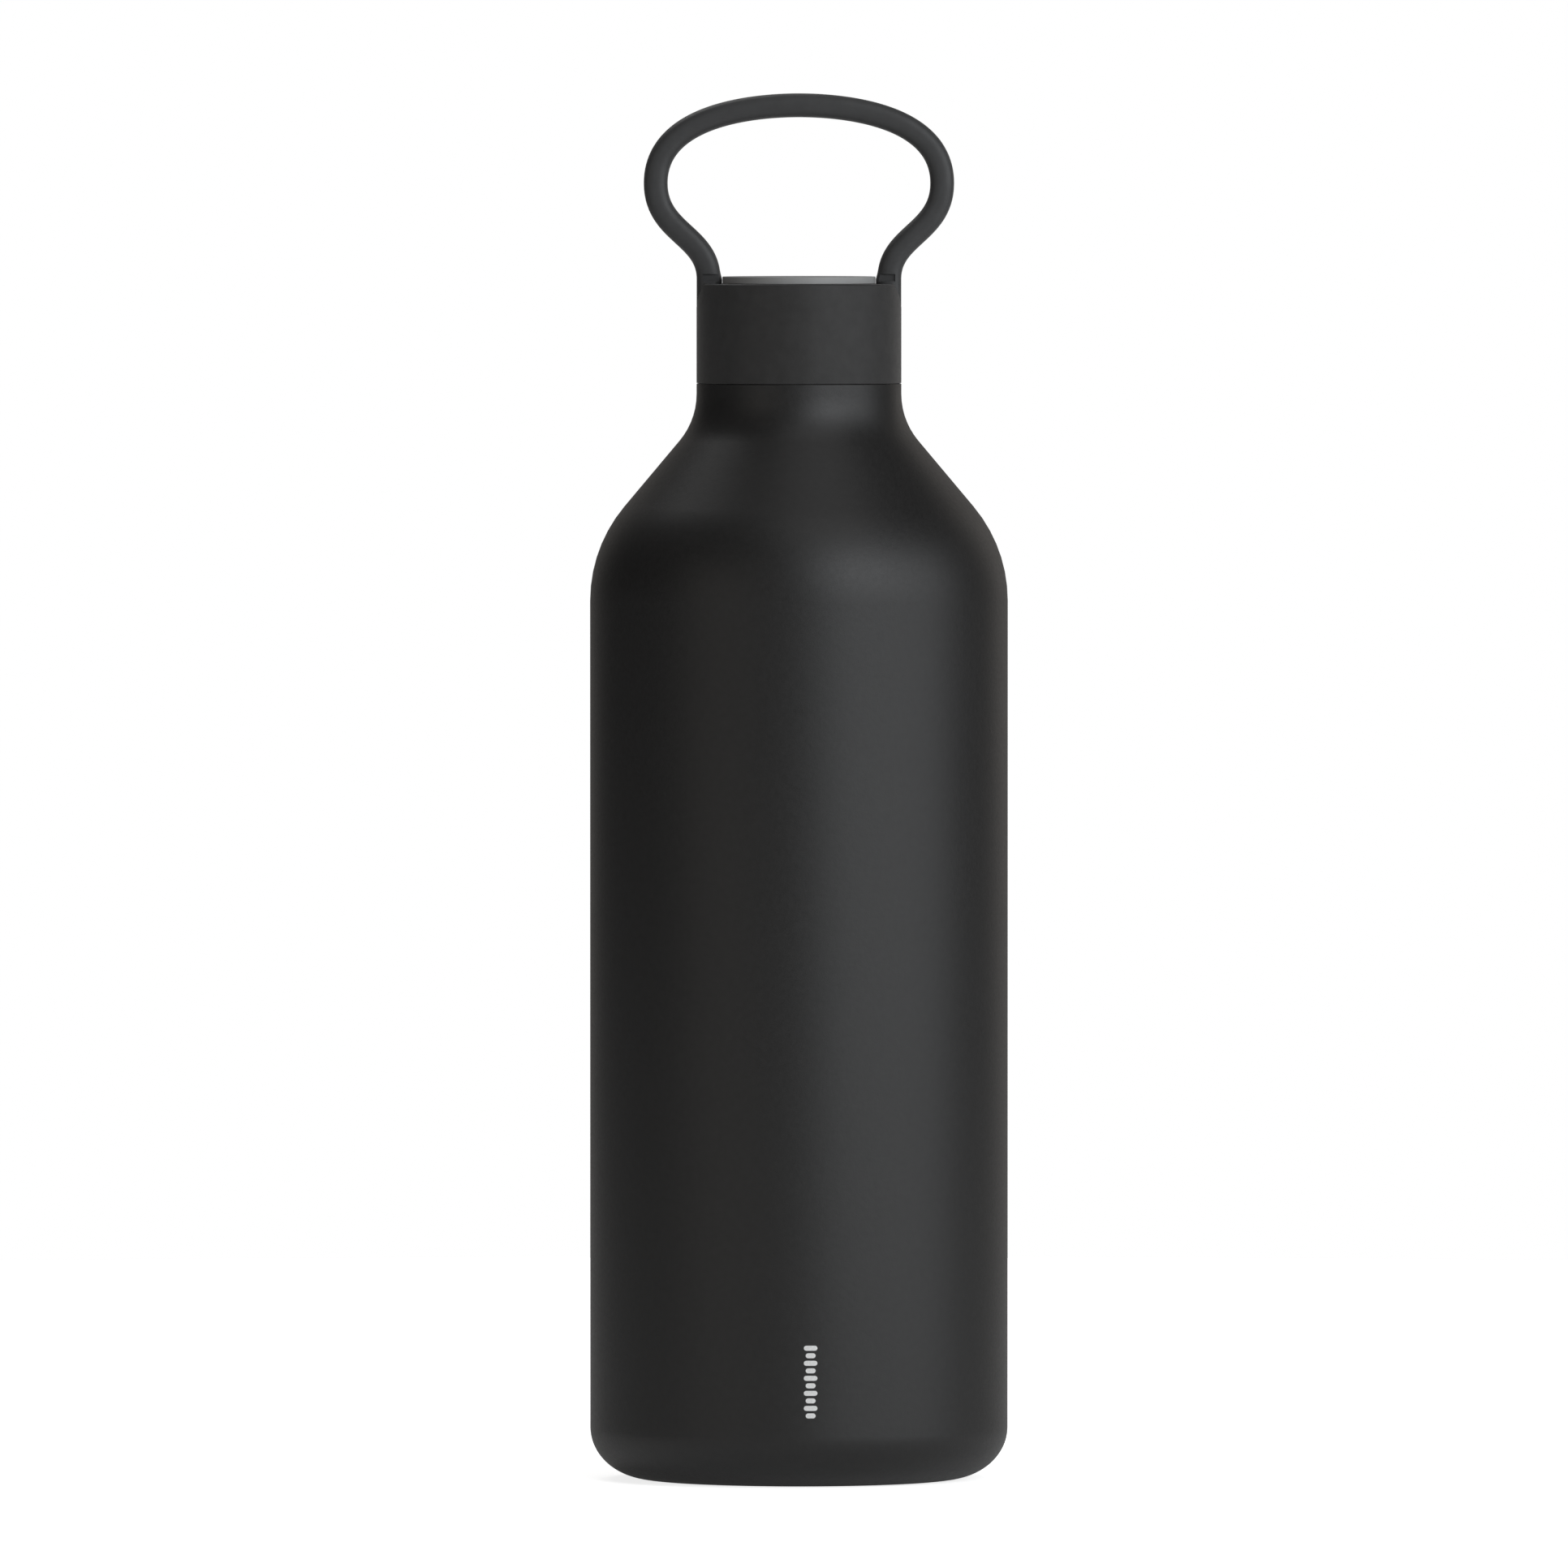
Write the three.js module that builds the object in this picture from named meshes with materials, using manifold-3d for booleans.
// A vacuum-insulated steel water bottle with a screw lid and a swinging carry handle.
//
// Millimetres, +Z up. The origin is the centre of the foot ring, on the plane the bottle stands on.
// The handle's hoop lies in the XZ plane and its pivot axis runs along X. Every round piece is
// turned about the Z axis unless its function says otherwise.

import * as THREE from 'three';
import { mergeVertices } from 'three/addons/utils/BufferGeometryUtils.js';
import Module from 'manifold-3d';

const wasm = await Module();
wasm.setup();

// ---- Driving dimensions -------------------------------------------------------------------

const SEGMENTS = 32; // facets round every large turned piece
const SMALL_SEGMENTS = 16; // facets round pins, bushes and screws
const ARC_DIVISIONS = 2; // an arc of a profile gets twice this many chords
const GAP = 0.3; // air between pieces that are fixed to each other
const WELD_GAP = 0.05; // air at a butt weld
const RUNNING_GAP = 0.1; // radial air round a piece that turns

// Outer bottle
const BODY_R = 40;
const NECK_R = 19.6; // the neck and the lid are one cylinder
const SHELL_WALL = 0.5;
const SHELL_FOOT_Z = 12; // weld between the shell and the base cup
const SHOULDER_Z = 168.2; // where the straight wall starts to turn in
const SHOULDER_R = 28; // convex round at the top of the wall
const NECK_FILLET_R = 14; // concave round under the neck
const SLOPE = THREE.MathUtils.degToRad(40); // shoulder's steepest lean from the vertical
const LEDGE_Z = 209.65; // step that the lid closes down to
const SEAM_EDGE_R = 0.12; // rounding of the two edges of the seam under the lid
const EDGE_R = 0.4; // rounding of the other outer edges

// Base
const BASE_WALL = 0.6;
const FOOT_OUTER_R = 28.6;
const FOOT_INNER_R = 24;
const BASE_CORNER_H = 9.9; // height of the elliptical corner between the foot and the wall
const PANEL_Z = 2.4; // underside of the recessed base panel
const PANEL_R = 22.6;
const DIMPLE_R = 4.6;
const DIMPLE_H = 1.2;
const PORT_R = 0.9; // evacuation port in the dimple
const SEAL_R = 3; // bead that closes the port
const SEAL_DROP = 0.8;
const PAD_R = 21.6;
const PAD_FLOOR_Z = 0.7; // the pad stays clear of the table

// Inner vessel
const VESSEL_R = 37;
const VESSEL_WALL = 0.4;
const VESSEL_NECK_R = 14.9;
const VESSEL_SHOULDER_Z = 166.5;
const VESSEL_SHOULDER_R = 21.5;
const VESSEL_FILLET_R = 16;
const VESSEL_SEAM_Z = 24; // weld between the vessel and its base
const VESSEL_FLOOR_Z = 8;
const VESSEL_CORNER_W = 12;
const VESSEL_CORNER_H = 10;
const FOIL_T = 0.25;
const FOIL_BOTTOM_Z = 30;
const FOIL_TOP_Z = 160;
const GETTER_X = 15;
const GETTER_R = 6;
const GETTER_H = 2.6;
const GETTER_WALL = 0.4;
const TABLET_R = 5;
const TABLET_T = 1.5;

// Neck and thread
const NECK_RING_R = 16; // thread root
const NECK_RING_WALL = 0.8;
const NECK_RING_TOP_Z = 217.8;
const MOUTH_Z = 218.7; // top of the rolled lip
const LIP_H = 0.8;
const THREAD_LEAD = 8;
const THREAD_STARTS = 2;
const THREAD_TURNS = 0.75;
const THREAD_H = 0.8;
const THREAD_BASE_W = 1.4;
const THREAD_CREST_W = 0.7;
const THREAD_SINK = 0.2; // how deep a thread is rooted in its wall
const THREAD_BOTTOM_Z = 210.9;
const LID_THREAD_DROP = 1.35; // the lid's thread lies this far under the neck's thread

// Lid
const LID_BOTTOM_Z = 209.8;
const LID_TOP_Z = 228.8;
const SLEEVE_WALL = 1.1;
const SLEEVE_FLANGE_R = 14.6; // opening in the top of the sleeve
const SLEEVE_FLANGE_T = 0.9;
const CORE_R = 18.2;
const CORE_THREAD_ROOT_R = 17.15;
const CORE_BOTTOM_Z = 209.75; // the skirt ends just above the ledge, behind the seam
const CEILING_Z = 219.8;
const CEILING_TOP_Z = 222;
const PLUG_R = 13.5;
const PLUG_WALL = 1.4;
const PLUG_BOTTOM_Z = 209;
const PLUG_FLOOR_T = 1.2;
const PLUG_SPIGOT_H = 1.6;
const GASKET_INNER_R = 13.8;
const GASKET_OUTER_R = 16.5;
const GASKET_T = 0.9;
const DISC_R = 14.65;
const DISC_BOTTOM_Z = 228.9; // just clear of the sleeve
const DISC_TOP_Z = 230.2;
const DISC_EDGE_R = 0.2;

// Handle and its pivots
const PIVOT_Z = 227.4;
const HANDLE_T = 4.58; // thickness seen from the front
const HANDLE_DEPTH = 5.6;
const SECTION_POWER = 3; // 2 is an ellipse, larger is squarer
const SECTION_POINTS = 12;
const HANDLE_STEPS = 44;
const LEG_X = 17.29; // centreline of a foot
const LEG_TOP_Z = 229.7; // where the legs begin to spread
const HANDLE_WAIST = new THREE.Vector2(27.41, 248.05); // widest point of the centreline
const HANDLE_TOP_Z = 262.95; // centreline at the crown
const LEG_PULL = 8.46; // Bezier handle lengths, from foot to crown
const WAIST_PULL_DOWN = 9.56;
const WAIST_PULL_UP = 13.7;
const CROWN_X = 7.05;
const FOOT_R = 2.8;
const FOOT_SWING = THREE.MathUtils.degToRad(55);
const FOOT_CLEARANCE = 0.3;
const RELIEF_Z = [229.3, 230.7]; // shallow relief on the front and back of each foot
const RELIEF_X = [15.3, 18.4];
const RELIEF_DEPTH = 0.5;
const CORE_ROD_R = 1.2;
const CORE_EYE_R = 2.2;
const CORE_EYE_T = 2;
const CAVITY_GAP = 0.12; // air between the rod and the grip moulded over it
const BUSH_R = 1.5;
const PIN_R = 0.9;
const PIN_INNER_X = 9;
const PIN_OUTER_X = 18.2;
const BUSH_INNER_X = 15.2;

// Hub that holds the pins, under the top disc
const HUB_TOP_Z = 228.7;
const HUB_STEP_Z = 227.6;
const HUB_POCKET_X = 14.6; // back wall of the pockets the feet swing in
const SCREW_Y = 8;
const SCREW_HEAD_R = 2.4;
const SCREW_HEAD_H = 1.8;
const SCREW_SHANK_R = 1.2;
const SCREW_TIP_Z = 220.6;

// ---- Helpers ------------------------------------------------------------------------------

/** Turns an outline in the (radius, height) plane about Z. It runs counter-clockwise. */
function turned(outline, segments = SEGMENTS) {
  const points = outline.getPoints(ARC_DIVISIONS);
  return new THREE.LatheGeometry(points, segments).rotateX(Math.PI / 2);
}

/** A plain ring or tube about Z. */
function tube(innerR, outerR, bottomZ, topZ, segments = SEGMENTS) {
  const outline = new THREE.Path();
  outline.moveTo(innerR, bottomZ);
  outline.lineTo(outerR, bottomZ);
  outline.lineTo(outerR, topZ);
  outline.lineTo(innerR, topZ);
  outline.closePath();
  return turned(outline, segments);
}

/** A plain round bar about Z. */
function bar(radius, bottomZ, topZ, segments = SEGMENTS) {
  const outline = new THREE.Path();
  outline.moveTo(0, bottomZ);
  outline.lineTo(radius, bottomZ);
  outline.lineTo(radius, topZ);
  outline.lineTo(0, topZ);
  return turned(outline, segments);
}

/** Lays a piece turned about Z along X, so that its heights become distances from the Z axis. */
function alongX(geometry, side) {
  return geometry.rotateY(side * Math.PI / 2).translate(0, 0, PIVOT_Z);
}

/** The solid enclosed by a closed geometry. */
function solid(geometry) {
  const shape = geometry.clone();
  shape.deleteAttribute('normal');
  shape.deleteAttribute('uv');
  const merged = mergeVertices(shape);
  const corners = merged.index.array;
  const triVerts = [];
  for (let i = 0; i < corners.length; i += 3) {
    const [a, b, c] = [corners[i], corners[i + 1], corners[i + 2]];
    if (a !== b && b !== c && c !== a) triVerts.push(a, b, c);
  }
  return new wasm.Manifold(new wasm.Mesh({
    numProp: 3,
    vertProperties: new Float32Array(merged.attributes.position.array),
    triVerts: new Uint32Array(triVerts),
  }));
}

/** The geometry of a solid. */
function surface(manifold) {
  const mesh = manifold.getMesh();
  const geometry = new THREE.BufferGeometry();
  geometry.setAttribute('position', new THREE.BufferAttribute(mesh.vertProperties, 3));
  geometry.setIndex(new THREE.BufferAttribute(mesh.triVerts, 1));
  geometry.computeVertexNormals();
  return geometry;
}

/** Joins every geometry of the list `joined`, then cuts away every one of the list `cut`. */
function combine(joined, cut = []) {
  let result = solid(joined[0]);
  for (const piece of joined.slice(1)) result = result.add(solid(piece));
  for (const piece of cut) result = result.subtract(solid(piece));
  return surface(result);
}

/** An S-shaped shoulder: a convex arc, a straight slope and a concave arc into the neck. */
function shoulder(bodyR, neckR, convexR, concaveR, startZ) {
  const arcs = convexR + concaveR;
  const slope = (bodyR - neckR - arcs * (1 - Math.cos(SLOPE))) / Math.sin(SLOPE);
  const neckZ = startZ + arcs * Math.sin(SLOPE) + slope * Math.cos(SLOPE);
  return { bodyR, neckR, convexR, concaveR, startZ, neckZ };
}

/** The same shoulder, moved inwards by a wall's thickness. */
function inset(s, wall) {
  return {
    ...s,
    bodyR: s.bodyR - wall,
    neckR: s.neckR - wall,
    convexR: s.convexR - wall,
    concaveR: s.concaveR + wall,
  };
}

function shoulderUp(outline, s) {
  outline.absarc(s.bodyR - s.convexR, s.startZ, s.convexR, 0, SLOPE, false);
  outline.absarc(s.neckR + s.concaveR, s.neckZ, s.concaveR, Math.PI + SLOPE, Math.PI, true);
}

function shoulderDown(outline, s) {
  outline.absarc(s.neckR + s.concaveR, s.neckZ, s.concaveR, Math.PI, Math.PI + SLOPE, false);
  outline.absarc(s.bodyR - s.convexR, s.startZ, s.convexR, SLOPE, 0, true);
}

/**
 * One start of a right-hand screw thread: a straight bar of trapezoid section, bent into a helix.
 * It stands out of its wall by THREAD_H, outwards or inwards, and fades out over its last eighth
 * of a turn at both ends.
 */
function threadStart(rootR, inwards, bottomZ, startAngle) {
  const sweep = THREAD_TURNS * 2 * Math.PI;
  const fade = Math.PI / 4;
  const section = new THREE.Shape();
  section.moveTo(-THREAD_SINK, -THREAD_BASE_W / 2);
  section.lineTo(THREAD_H, -THREAD_CREST_W / 2);
  section.lineTo(THREAD_H, THREAD_CREST_W / 2);
  section.lineTo(-THREAD_SINK, THREAD_BASE_W / 2);
  const steps = THREAD_TURNS * SEGMENTS;
  const ridge = new THREE.ExtrudeGeometry(section, { depth: sweep, steps, bevelEnabled: false });
  const position = ridge.attributes.position;
  for (let i = 0; i < position.count; i += 1) {
    const turnedBy = inwards ? position.getZ(i) : sweep - position.getZ(i);
    const height = Math.min(1, turnedBy / fade, (sweep - turnedBy) / fade);
    const out = position.getX(i) > 0 ? position.getX(i) * height : position.getX(i);
    const radius = inwards ? rootR - out : rootR + out;
    const angle = startAngle + turnedBy;
    const z = bottomZ + THREAD_LEAD * turnedBy / (2 * Math.PI) + position.getY(i);
    position.setXYZ(i, radius * Math.cos(angle), radius * Math.sin(angle), z);
  }
  return ridge;
}

/** All the starts of a thread, evenly spaced, the first beginning at `firstAngle`. */
function thread(rootR, inwards, bottomZ, firstAngle) {
  const starts = [];
  for (let k = 0; k < THREAD_STARTS; k += 1) {
    const startAngle = firstAngle + k * 2 * Math.PI / THREAD_STARTS;
    starts.push(threadStart(rootR, inwards, bottomZ, startAngle));
  }
  return starts;
}

// ---- Bottle -------------------------------------------------------------------------------

const OUTER_SHOULDER = shoulder(BODY_R, NECK_R, SHOULDER_R, NECK_FILLET_R, SHOULDER_Z);
const VESSEL_SHOULDER =
  shoulder(VESSEL_R, VESSEL_NECK_R, VESSEL_SHOULDER_R, VESSEL_FILLET_R, VESSEL_SHOULDER_Z);

/** Coated outer wall, from the base weld up to the ledge round the thread. */
function outerShell() {
  const ledgeR = NECK_RING_R + RUNNING_GAP;
  const outline = new THREE.Path();
  outline.moveTo(BODY_R - SHELL_WALL, SHELL_FOOT_Z);
  outline.lineTo(BODY_R, SHELL_FOOT_Z);
  shoulderUp(outline, OUTER_SHOULDER);
  outline.lineTo(NECK_R, LEDGE_Z - SEAM_EDGE_R);
  outline.lineTo(NECK_R - SEAM_EDGE_R, LEDGE_Z);
  outline.lineTo(ledgeR, LEDGE_Z);
  outline.lineTo(ledgeR, LEDGE_Z - SHELL_WALL);
  outline.lineTo(NECK_R - SHELL_WALL, LEDGE_Z - SHELL_WALL);
  shoulderDown(outline, inset(OUTER_SHOULDER, SHELL_WALL));
  outline.closePath();
  return turned(outline);
}

/** Coated cup welded into the foot of the shell: elliptical corner, foot ring, recessed panel. */
function baseCup() {
  const cornerW = BODY_R - FOOT_OUTER_R;
  const quarter = Math.PI / 2;
  const topZ = SHELL_FOOT_Z - WELD_GAP;
  const panelTop = PANEL_Z + BASE_WALL;
  const dimpleTop = panelTop + DIMPLE_H;
  const outline = new THREE.Path();
  outline.moveTo(PORT_R, PANEL_Z + DIMPLE_H);
  outline.lineTo(DIMPLE_R, PANEL_Z + DIMPLE_H);
  outline.lineTo(DIMPLE_R + DIMPLE_H, PANEL_Z);
  outline.lineTo(PANEL_R, PANEL_Z);
  outline.lineTo(FOOT_INNER_R - BASE_WALL, BASE_WALL);
  outline.lineTo(FOOT_INNER_R, 0);
  outline.lineTo(FOOT_OUTER_R, 0);
  outline.absellipse(FOOT_OUTER_R, BASE_CORNER_H, cornerW, BASE_CORNER_H, -quarter, 0, false);
  outline.lineTo(BODY_R, topZ);
  outline.lineTo(BODY_R - BASE_WALL, topZ);
  const innerH = BASE_CORNER_H - BASE_WALL;
  const innerW = cornerW - BASE_WALL;
  outline.absellipse(FOOT_OUTER_R, BASE_CORNER_H, innerW, innerH, 0, -quarter, true);
  outline.lineTo(FOOT_INNER_R + BASE_WALL / 2, BASE_WALL);
  outline.lineTo(PANEL_R + BASE_WALL, panelTop);
  outline.lineTo(DIMPLE_R + DIMPLE_H + BASE_WALL / 2, panelTop);
  outline.lineTo(DIMPLE_R + BASE_WALL / 2, dimpleTop);
  outline.lineTo(PORT_R, dimpleTop);
  outline.closePath();
  return turned(outline);
}

/** Bead that closes the evacuation port after the air is drawn out. */
function vacuumSeal() {
  const topZ = PANEL_Z + DIMPLE_H - RUNNING_GAP;
  const outline = new THREE.Path();
  outline.moveTo(0, topZ - SEAL_DROP);
  outline.quadraticCurveTo(SEAL_R, topZ - SEAL_DROP, SEAL_R, topZ);
  outline.lineTo(PORT_R - GAP, topZ);
  outline.lineTo(PORT_R - GAP, topZ + BASE_WALL);
  outline.lineTo(0, topZ + BASE_WALL);
  return turned(outline, SMALL_SEGMENTS);
}

/** Soft disc glued into the recess of the base. */
function basePad() {
  const topZ = PANEL_Z - GAP;
  const outline = new THREE.Path();
  outline.moveTo(0, PAD_FLOOR_Z);
  outline.lineTo(PAD_R - EDGE_R, PAD_FLOOR_Z);
  outline.lineTo(PAD_R, PAD_FLOOR_Z + EDGE_R);
  outline.lineTo(PAD_R, topZ);
  outline.lineTo(0, topZ);
  return turned(outline);
}

/** Steel wall that holds the drink, with its lip rolled out over the neck ring. */
function innerVessel() {
  const lipBottom = MOUTH_Z - LIP_H;
  const outline = new THREE.Path();
  outline.moveTo(VESSEL_R - VESSEL_WALL, VESSEL_SEAM_Z);
  outline.lineTo(VESSEL_R, VESSEL_SEAM_Z);
  shoulderUp(outline, VESSEL_SHOULDER);
  outline.lineTo(VESSEL_NECK_R, lipBottom);
  outline.lineTo(NECK_RING_R, lipBottom);
  outline.lineTo(NECK_RING_R, MOUTH_Z - EDGE_R);
  outline.lineTo(NECK_RING_R - EDGE_R, MOUTH_Z);
  outline.lineTo(VESSEL_NECK_R - VESSEL_WALL + EDGE_R, MOUTH_Z);
  outline.lineTo(VESSEL_NECK_R - VESSEL_WALL, MOUTH_Z - EDGE_R);
  shoulderDown(outline, inset(VESSEL_SHOULDER, VESSEL_WALL));
  outline.closePath();
  return turned(outline);
}

/** Dished bottom welded to the inner vessel. */
function vesselBase() {
  const quarter = Math.PI / 2;
  const floorR = VESSEL_R - VESSEL_CORNER_W;
  const cornerZ = VESSEL_FLOOR_Z + VESSEL_CORNER_H;
  const topZ = VESSEL_SEAM_Z - WELD_GAP;
  const innerW = VESSEL_CORNER_W - VESSEL_WALL;
  const innerH = VESSEL_CORNER_H - VESSEL_WALL;
  const outline = new THREE.Path();
  outline.moveTo(0, VESSEL_FLOOR_Z);
  outline.lineTo(floorR, VESSEL_FLOOR_Z);
  outline.absellipse(floorR, cornerZ, VESSEL_CORNER_W, VESSEL_CORNER_H, -quarter, 0, false);
  outline.lineTo(VESSEL_R, topZ);
  outline.lineTo(VESSEL_R - VESSEL_WALL, topZ);
  outline.absellipse(floorR, cornerZ, innerW, innerH, 0, -quarter, true);
  outline.lineTo(0, VESSEL_FLOOR_Z + VESSEL_WALL);
  return turned(outline);
}

/** Metal foil wrapped round the vessel, inside the vacuum. */
function radiationFoil() {
  const innerR = VESSEL_R + GAP;
  return tube(innerR, innerR + FOIL_T, FOIL_BOTTOM_Z, FOIL_TOP_Z);
}

/** Little open pan spot-welded under the vessel, which holds the getter tablet. */
function getterHolder() {
  const topZ = VESSEL_FLOOR_Z - RUNNING_GAP;
  const innerR = GETTER_R - GETTER_WALL;
  const outline = new THREE.Path();
  outline.moveTo(0, topZ - GETTER_H);
  outline.lineTo(GETTER_R, topZ - GETTER_H);
  outline.lineTo(GETTER_R, topZ);
  outline.lineTo(innerR, topZ);
  outline.lineTo(innerR, topZ - GETTER_H + GETTER_WALL);
  outline.lineTo(0, topZ - GETTER_H + GETTER_WALL);
  return turned(outline, SMALL_SEGMENTS).translate(GETTER_X, 0, 0);
}

/** Tablet that soaks up the last gas in the vacuum. */
function getterTablet() {
  const bottomZ = VESSEL_FLOOR_Z - GETTER_H + GETTER_WALL;
  const tablet = bar(TABLET_R, bottomZ, bottomZ + TABLET_T, SMALL_SEGMENTS);
  return tablet.translate(GETTER_X, 0, 0);
}

/** Bare steel ring with the outside thread, flanged under the shell's ledge. */
function threadedNeck() {
  const flangeTop = LEDGE_Z - SHELL_WALL - RUNNING_GAP;
  const flangeR = NECK_R - SHELL_WALL - GAP;
  const innerR = NECK_RING_R - NECK_RING_WALL;
  const outline = new THREE.Path();
  outline.moveTo(innerR, flangeTop - NECK_RING_WALL);
  outline.lineTo(flangeR, flangeTop - NECK_RING_WALL);
  outline.lineTo(flangeR, flangeTop);
  outline.lineTo(NECK_RING_R, flangeTop);
  outline.lineTo(NECK_RING_R, NECK_RING_TOP_Z);
  outline.lineTo(innerR, NECK_RING_TOP_Z);
  outline.closePath();
  return combine([turned(outline), ...thread(NECK_RING_R, false, THREAD_BOTTOM_Z, 0)]);
}

// ---- Lid ----------------------------------------------------------------------------------

/**
 * The room one foot of the handle swings in: a slot along X, round the pivot below and opening
 * upwards like a fan.
 */
function footPocket(side, innerX, outerX) {
  const radius = FOOT_R + FOOT_CLEARANCE;
  const reach = 14;
  const lean = new THREE.Vector2(Math.sin(FOOT_SWING), Math.cos(FOOT_SWING));
  const tangent = new THREE.Vector2(lean.y, -lean.x).multiplyScalar(radius);
  const outline = new THREE.Shape();
  outline.moveTo(-tangent.x - reach * lean.x, tangent.y + reach * lean.y);
  outline.lineTo(-tangent.x, tangent.y);
  outline.absarc(0, 0, radius, -Math.PI + FOOT_SWING, -FOOT_SWING, false);
  outline.lineTo(tangent.x + reach * lean.x, tangent.y + reach * lean.y);
  const depth = outerX - innerX;
  const slot = new THREE.ExtrudeGeometry(outline, { depth, curveSegments: 6, bevelEnabled: false });
  slot.rotateX(Math.PI / 2).rotateZ(Math.PI / 2);
  slot.translate(side > 0 ? innerX : -outerX, 0, PIVOT_Z);
  return slot;
}

/** Outer skin of the lid, flush with the neck, with a slot for each foot of the handle. */
function lidSleeve() {
  const innerR = NECK_R - SLEEVE_WALL;
  const outline = new THREE.Path();
  outline.moveTo(innerR, LID_BOTTOM_Z);
  outline.lineTo(NECK_R - SEAM_EDGE_R, LID_BOTTOM_Z);
  outline.lineTo(NECK_R, LID_BOTTOM_Z + SEAM_EDGE_R);
  outline.lineTo(NECK_R, LID_TOP_Z - EDGE_R);
  outline.lineTo(NECK_R - EDGE_R, LID_TOP_Z);
  outline.lineTo(SLEEVE_FLANGE_R, LID_TOP_Z);
  outline.lineTo(SLEEVE_FLANGE_R, LID_TOP_Z - SLEEVE_FLANGE_T);
  outline.lineTo(innerR, LID_TOP_Z - SLEEVE_FLANGE_T);
  outline.closePath();
  const slots = [-1, 1].map((side) => footPocket(side, SLEEVE_FLANGE_R - 1, NECK_R + 1));
  return combine([turned(outline)], slots);
}

/** Satin steel disc on top of the lid, between the feet of the handle. */
function topDisc() {
  const outline = new THREE.Path();
  outline.moveTo(0, DISC_BOTTOM_Z);
  outline.lineTo(DISC_R, DISC_BOTTOM_Z);
  outline.lineTo(DISC_R, DISC_TOP_Z - DISC_EDGE_R);
  outline.lineTo(DISC_R - DISC_EDGE_R, DISC_TOP_Z);
  outline.lineTo(0, DISC_TOP_Z);
  return turned(outline);
}

/** Block under the top disc that holds both pivot pins and traps the handle's feet. */
function pivotHub() {
  const bottomZ = CEILING_TOP_Z + RUNNING_GAP;
  const outline = new THREE.Path();
  outline.moveTo(0, bottomZ);
  outline.lineTo(CORE_R, bottomZ);
  outline.lineTo(CORE_R, HUB_STEP_Z);
  outline.lineTo(SLEEVE_FLANGE_R - GAP, HUB_STEP_Z);
  outline.lineTo(SLEEVE_FLANGE_R - GAP, HUB_TOP_Z);
  outline.lineTo(0, HUB_TOP_Z);
  const cuts = [];
  for (const side of [-1, 1]) {
    cuts.push(footPocket(side, HUB_POCKET_X, NECK_R + 1));
    cuts.push(alongX(bar(PIN_R + RUNNING_GAP, PIN_INNER_X - GAP, NECK_R, SMALL_SEGMENTS), side));
    const shankHole = bar(SCREW_SHANK_R + GAP, bottomZ - 1, HUB_TOP_Z + 1, SMALL_SEGMENTS);
    const headZ = HUB_TOP_Z - SCREW_HEAD_H - 2 * GAP;
    const headHole = bar(SCREW_HEAD_R + GAP, headZ, HUB_TOP_Z + 1, SMALL_SEGMENTS);
    cuts.push(shankHole.translate(0, side * SCREW_Y, 0));
    cuts.push(headHole.translate(0, side * SCREW_Y, 0));
  }
  return combine([turned(outline)], cuts);
}

/** Steel pin that one foot of the handle turns on. */
function pivotPin(side) {
  return alongX(bar(PIN_R, PIN_INNER_X, PIN_OUTER_X, SMALL_SEGMENTS), side);
}

/** Pan-head screw that holds the hub to the lid's core. */
function hubScrew(side) {
  const headTop = HUB_TOP_Z - GAP;
  const headZ = headTop - SCREW_HEAD_H;
  const chamfer = 0.5;
  const outline = new THREE.Path();
  outline.moveTo(0, SCREW_TIP_Z);
  outline.lineTo(SCREW_SHANK_R - chamfer, SCREW_TIP_Z);
  outline.lineTo(SCREW_SHANK_R, SCREW_TIP_Z + chamfer);
  outline.lineTo(SCREW_SHANK_R, headZ);
  outline.lineTo(SCREW_HEAD_R, headZ);
  outline.lineTo(SCREW_HEAD_R, headTop - chamfer);
  outline.lineTo(SCREW_HEAD_R - chamfer, headTop);
  outline.lineTo(0, headTop);
  return turned(outline, SMALL_SEGMENTS).translate(0, side * SCREW_Y, 0);
}

/** Moulded core of the lid: threaded skirt, ceiling and the tube of the insulating plug. */
function lidCore() {
  const plugInnerR = PLUG_R - PLUG_WALL;
  const tubeBottom = PLUG_BOTTOM_Z + PLUG_FLOOR_T + RUNNING_GAP;
  const outline = new THREE.Path();
  outline.moveTo(0, CEILING_Z);
  outline.lineTo(plugInnerR, CEILING_Z);
  outline.lineTo(plugInnerR, tubeBottom);
  outline.lineTo(PLUG_R, tubeBottom);
  outline.lineTo(PLUG_R, CEILING_Z);
  outline.lineTo(CORE_THREAD_ROOT_R, CEILING_Z);
  outline.lineTo(CORE_THREAD_ROOT_R, CORE_BOTTOM_Z);
  outline.lineTo(CORE_R, CORE_BOTTOM_Z);
  outline.lineTo(CORE_R, CEILING_TOP_Z);
  outline.lineTo(0, CEILING_TOP_Z);
  const pilots = [-1, 1].map((side) => {
    const pilot = bar(SCREW_SHANK_R + GAP, SCREW_TIP_Z - GAP, CEILING_TOP_Z + 1, SMALL_SEGMENTS);
    return pilot.translate(0, side * SCREW_Y, 0);
  });
  const quarterTurn = Math.PI / 2;
  const threadZ = THREAD_BOTTOM_Z + THREAD_LEAD / 4 - LID_THREAD_DROP;
  const threads = thread(CORE_THREAD_ROOT_R, true, threadZ, quarterTurn);
  return combine([turned(outline), ...threads], pilots);
}

/** Foam puck inside the plug. */
function plugInsulation() {
  const bottomZ = PLUG_BOTTOM_Z + PLUG_FLOOR_T + PLUG_SPIGOT_H + GAP;
  return bar(PLUG_R - PLUG_WALL - GAP, bottomZ, CEILING_Z - GAP);
}

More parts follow.
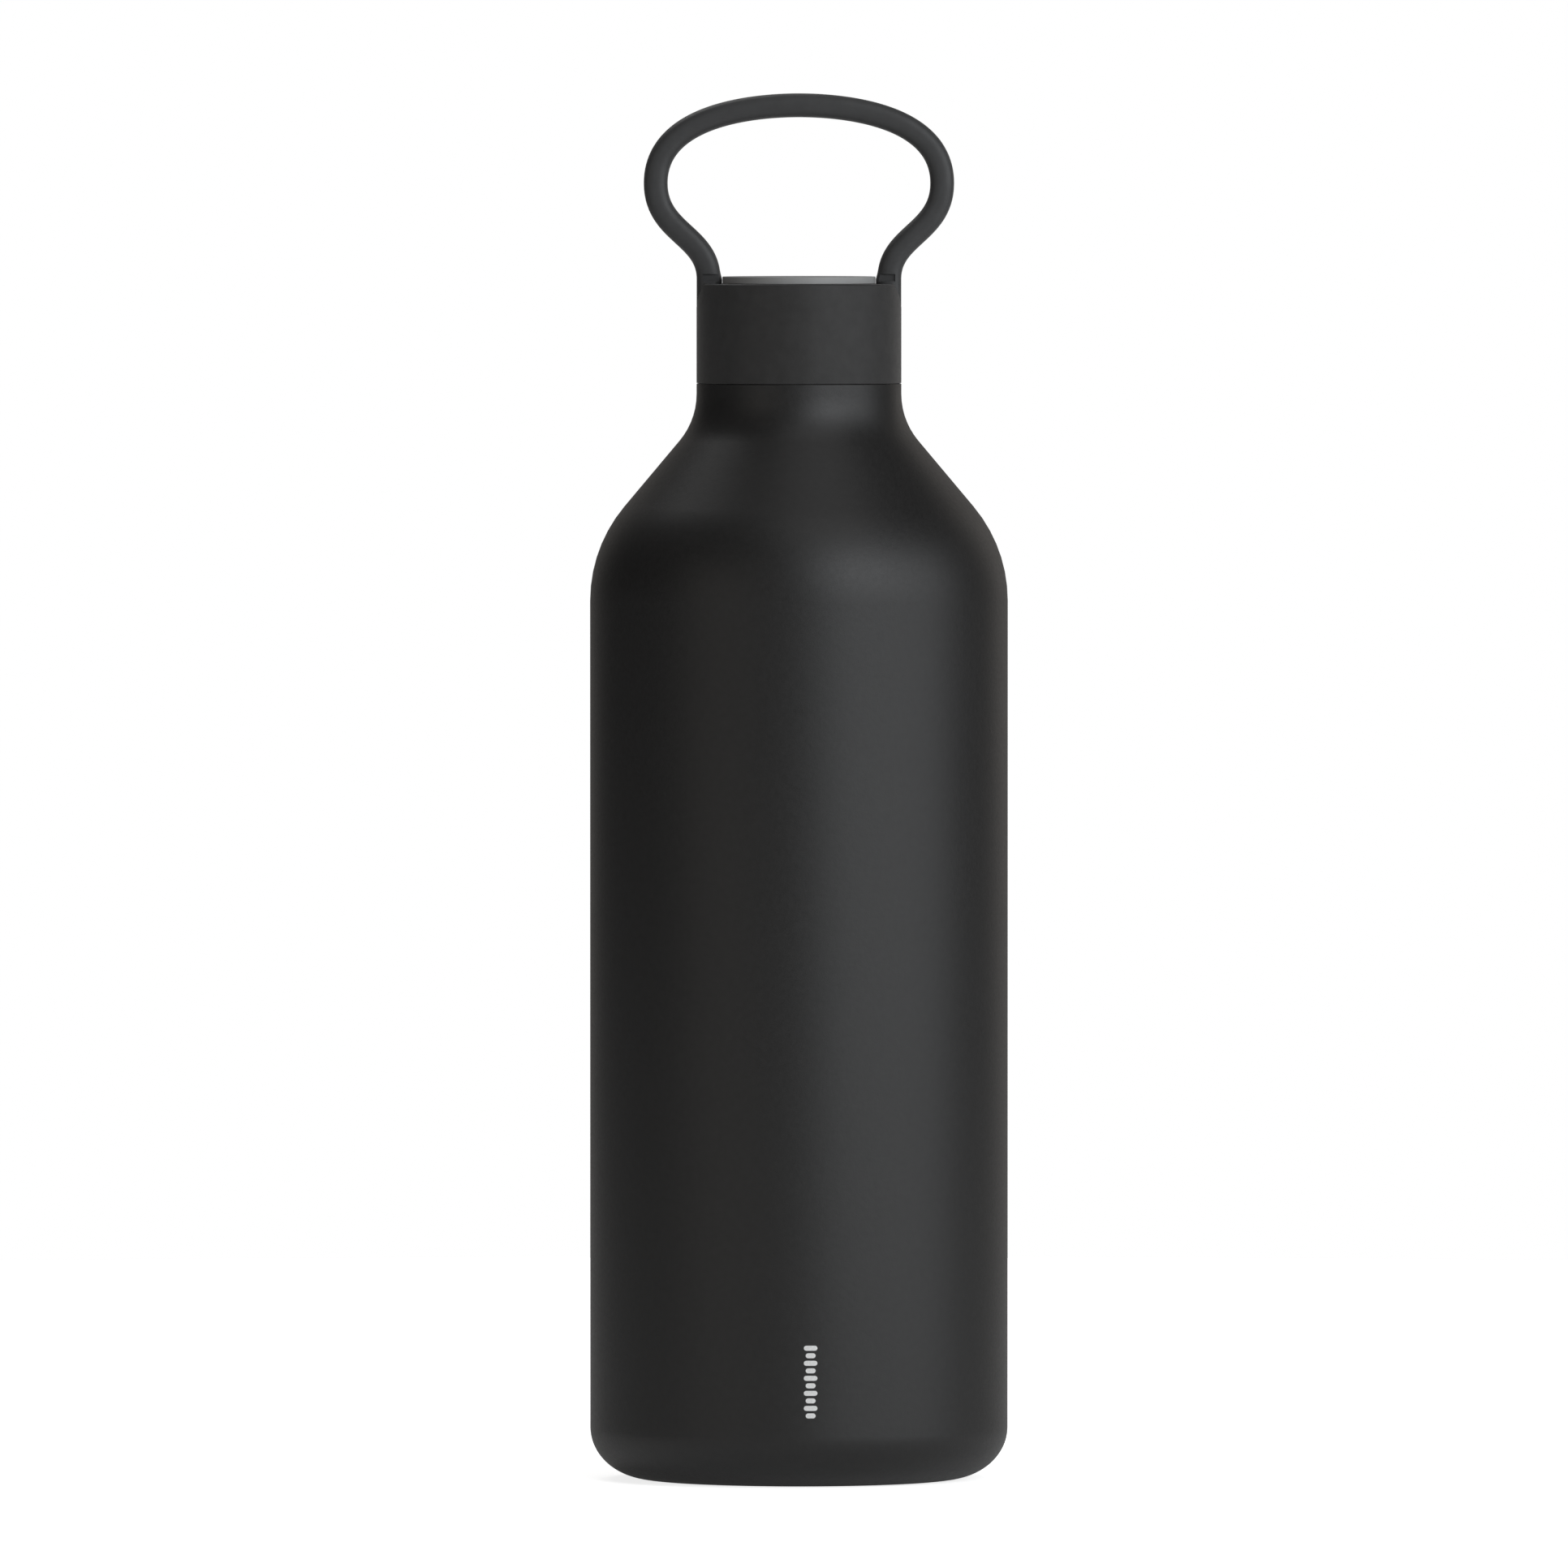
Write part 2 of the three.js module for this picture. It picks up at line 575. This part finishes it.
/** Cover that closes the bottom of the plug, pushed into its tube. */
function plugCover() {
  const spigotR = PLUG_R - PLUG_WALL - RUNNING_GAP;
  const floorTop = PLUG_BOTTOM_Z + PLUG_FLOOR_T;
  const outline = new THREE.Path();
  outline.moveTo(0, PLUG_BOTTOM_Z);
  outline.lineTo(PLUG_R - EDGE_R, PLUG_BOTTOM_Z);
  outline.lineTo(PLUG_R, PLUG_BOTTOM_Z + EDGE_R);
  outline.lineTo(PLUG_R, floorTop);
  outline.lineTo(spigotR, floorTop);
  outline.lineTo(spigotR, floorTop + PLUG_SPIGOT_H);
  outline.lineTo(0, floorTop + PLUG_SPIGOT_H);
  return turned(outline);
}

/** Soft sealing ring round the plug, pressed on the mouth. */
function lipGasket() {
  const bottomZ = MOUTH_Z + RUNNING_GAP;
  const topZ = bottomZ + GASKET_T;
  const bevel = 0.3;
  const outline = new THREE.Path();
  outline.moveTo(GASKET_INNER_R, bottomZ);
  outline.lineTo(GASKET_OUTER_R - bevel, bottomZ);
  outline.lineTo(GASKET_OUTER_R, bottomZ + bevel);
  outline.lineTo(GASKET_OUTER_R, topZ);
  outline.lineTo(GASKET_INNER_R, topZ);
  outline.closePath();
  return turned(outline);
}

// ---- Handle -------------------------------------------------------------------------------

/** Centreline of the hoop, from the left pivot over the crown to the right pivot. */
function handlePath() {
  const at = (x, z) => new THREE.Vector3(x, 0, z);
  const waist = HANDLE_WAIST;
  const path = new THREE.CurvePath();
  const leg = (side) => [at(side * LEG_X, PIVOT_Z), at(side * LEG_X, LEG_TOP_Z)];
  const flank = (side) => [
    at(side * LEG_X, LEG_TOP_Z),
    at(side * LEG_X, LEG_TOP_Z + LEG_PULL),
    at(side * waist.x, waist.y - WAIST_PULL_DOWN),
    at(side * waist.x, waist.y),
  ];
  const crown = (side) => [
    at(side * waist.x, waist.y),
    at(side * waist.x, waist.y + WAIST_PULL_UP),
    at(side * CROWN_X, HANDLE_TOP_Z),
    at(0, HANDLE_TOP_Z),
  ];
  path.add(new THREE.LineCurve3(...leg(-1)));
  path.add(new THREE.CubicBezierCurve3(...flank(-1)));
  path.add(new THREE.CubicBezierCurve3(...crown(-1)));
  path.add(new THREE.CubicBezierCurve3(...crown(1).reverse()));
  path.add(new THREE.CubicBezierCurve3(...flank(1).reverse()));
  path.add(new THREE.LineCurve3(...leg(1).reverse()));
  return path;
}

/** A rounded square (superellipse) of the given half sizes, in depth and in thickness. */
function roundedSection(halfDepth, halfThickness, power, count) {
  const outline = new THREE.Shape();
  for (let k = 0; k < count; k += 1) {
    const angle = 2 * Math.PI * k / count;
    const [c, s] = [Math.cos(angle), Math.sin(angle)];
    const x = halfDepth * Math.sign(c) * Math.abs(c) ** (2 / power);
    const y = halfThickness * Math.sign(s) * Math.abs(s) ** (2 / power);
    if (k === 0) outline.moveTo(x, y);
    else outline.lineTo(x, y);
  }
  return outline;
}

function alongHandle(section) {
  const extrudePath = handlePath();
  return new THREE.ExtrudeGeometry(section, { extrudePath, steps: HANDLE_STEPS, bevelEnabled: false });
}

/** A round rod along the handle's centreline with a flat eye at each foot. */
function eyedRod(rodR, eyeR, eyeT) {
  const rod = alongHandle(roundedSection(rodR, rodR, 2, 8));
  const eye = (side) => alongX(bar(eyeR, LEG_X - eyeT / 2, LEG_X + eyeT / 2, SMALL_SEGMENTS), side);
  return [rod, eye(-1), eye(1)];
}

/** Steel rod inside the handle, with an eye round each bush. */
function handleCore() {
  const bore = (side) =>
    alongX(bar(BUSH_R + RUNNING_GAP / 2, LEG_X - CORE_EYE_T, LEG_X + CORE_EYE_T, SMALL_SEGMENTS), side);
  return combine(eyedRod(CORE_ROD_R, CORE_EYE_R, CORE_EYE_T), [bore(-1), bore(1)]);
}

/** Soft grip moulded over the rod, with round feet that sit flush in the lid's slots. */
function handleGrip() {
  const round = 0.7;
  const inner = LEG_X - HANDLE_T / 2;
  const outer = LEG_X + HANDLE_T / 2;
  const footOutline = new THREE.Path();
  footOutline.moveTo(0, inner);
  footOutline.lineTo(FOOT_R, inner);
  footOutline.lineTo(FOOT_R, outer - round);
  footOutline.lineTo(FOOT_R - round, outer);
  footOutline.lineTo(0, outer);
  const hoop = alongHandle(
    roundedSection(HANDLE_DEPTH / 2, HANDLE_T / 2, SECTION_POWER, SECTION_POINTS));
  const joined = [hoop];
  const cuts = eyedRod(CORE_ROD_R + CAVITY_GAP, CORE_EYE_R + CAVITY_GAP, CORE_EYE_T + 2 * CAVITY_GAP);
  const reliefW = RELIEF_X[1] - RELIEF_X[0];
  const reliefH = RELIEF_Z[1] - RELIEF_Z[0];
  for (const side of [-1, 1]) {
    joined.push(alongX(turned(footOutline, SMALL_SEGMENTS), side));
    cuts.push(alongX(bar(BUSH_R + CAVITY_GAP, inner - 1, LEG_X, SMALL_SEGMENTS), side));
    for (const face of [-1, 1]) {
      const relief = new THREE.BoxGeometry(reliefW, 2 * RELIEF_DEPTH, reliefH);
      const x = side * (RELIEF_X[0] + reliefW / 2);
      cuts.push(relief.translate(x, face * HANDLE_DEPTH / 2, RELIEF_Z[0] + reliefH / 2));
    }
  }
  return combine(joined, cuts);
}

/** Plastic bush pressed into the eye of the rod, which turns on the pin. */
function handleBush(side) {
  const ring = tube(PIN_R + RUNNING_GAP, BUSH_R, BUSH_INNER_X, LEG_X + CORE_EYE_T / 2, SMALL_SEGMENTS);
  return alongX(ring, side);
}

// ---- Materials ----------------------------------------------------------------------------

const finish = (color, roughness, metalness) =>
  () => new THREE.MeshStandardMaterial({ color, roughness, metalness });

const powderCoat = finish(0x1b1b1d, 0.55, 0);
const bareSteel = finish(0xb9bab8, 0.3, 1);
const brightSteel = finish(0xc8c9c8, 0.2, 1);
const satinSteel = finish(0x8f8f8c, 0.45, 1);
const copperFoil = finish(0xc98a63, 0.25, 1);
const sealGlass = finish(0x3c4a3e, 0.2, 0);
const getterGrey = finish(0x6d6a66, 0.9, 0);
const softBlack = finish(0x202022, 0.7, 0);
const lidPlastic = finish(0x1e1e20, 0.5, 0);
const corePlastic = finish(0x2c2c2e, 0.45, 0);
const whiteFoam = finish(0xe8e6df, 0.95, 0);
const clearSilicone = finish(0xd9dad6, 0.5, 0);
const nylon = finish(0xdedbd0, 0.5, 0);

// ---- Assembly -----------------------------------------------------------------------------

function named(name, geometry, material) {
  const mesh = new THREE.Mesh(geometry, material());
  mesh.name = name;
  return mesh;
}

const bottle = new THREE.Group();
bottle.add(
  named('outer_shell', outerShell(), powderCoat),
  named('base_cup', baseCup(), powderCoat),
  named('base_pad', basePad(), softBlack),
  named('vacuum_seal', vacuumSeal(), sealGlass),
  named('threaded_neck', threadedNeck(), bareSteel),
  named('inner_vessel', innerVessel(), brightSteel),
  named('vessel_base', vesselBase(), brightSteel),
  named('radiation_foil', radiationFoil(), copperFoil),
  named('getter_holder', getterHolder(), bareSteel),
  named('getter_tablet', getterTablet(), getterGrey),
);

const lid = new THREE.Group();
lid.add(
  named('lid_sleeve', lidSleeve(), lidPlastic),
  named('top_disc', topDisc(), satinSteel),
  named('pivot_hub', pivotHub(), corePlastic),
  named('pivot_pin_left', pivotPin(-1), bareSteel),
  named('pivot_pin_right', pivotPin(1), bareSteel),
  named('hub_screw_front', hubScrew(-1), bareSteel),
  named('hub_screw_back', hubScrew(1), bareSteel),
  named('lid_core', lidCore(), corePlastic),
  named('plug_insulation', plugInsulation(), whiteFoam),
  named('plug_cover', plugCover(), corePlastic),
  named('lip_gasket', lipGasket(), clearSilicone),
);

const handle = new THREE.Group();
handle.add(
  named('handle_core', handleCore(), bareSteel),
  named('handle_grip', handleGrip(), softBlack),
  named('handle_bush_left', handleBush(-1), nylon),
  named('handle_bush_right', handleBush(1), nylon),
);

const waterBottle = new THREE.Group();
waterBottle.add(bottle, lid, handle);

export default waterBottle;
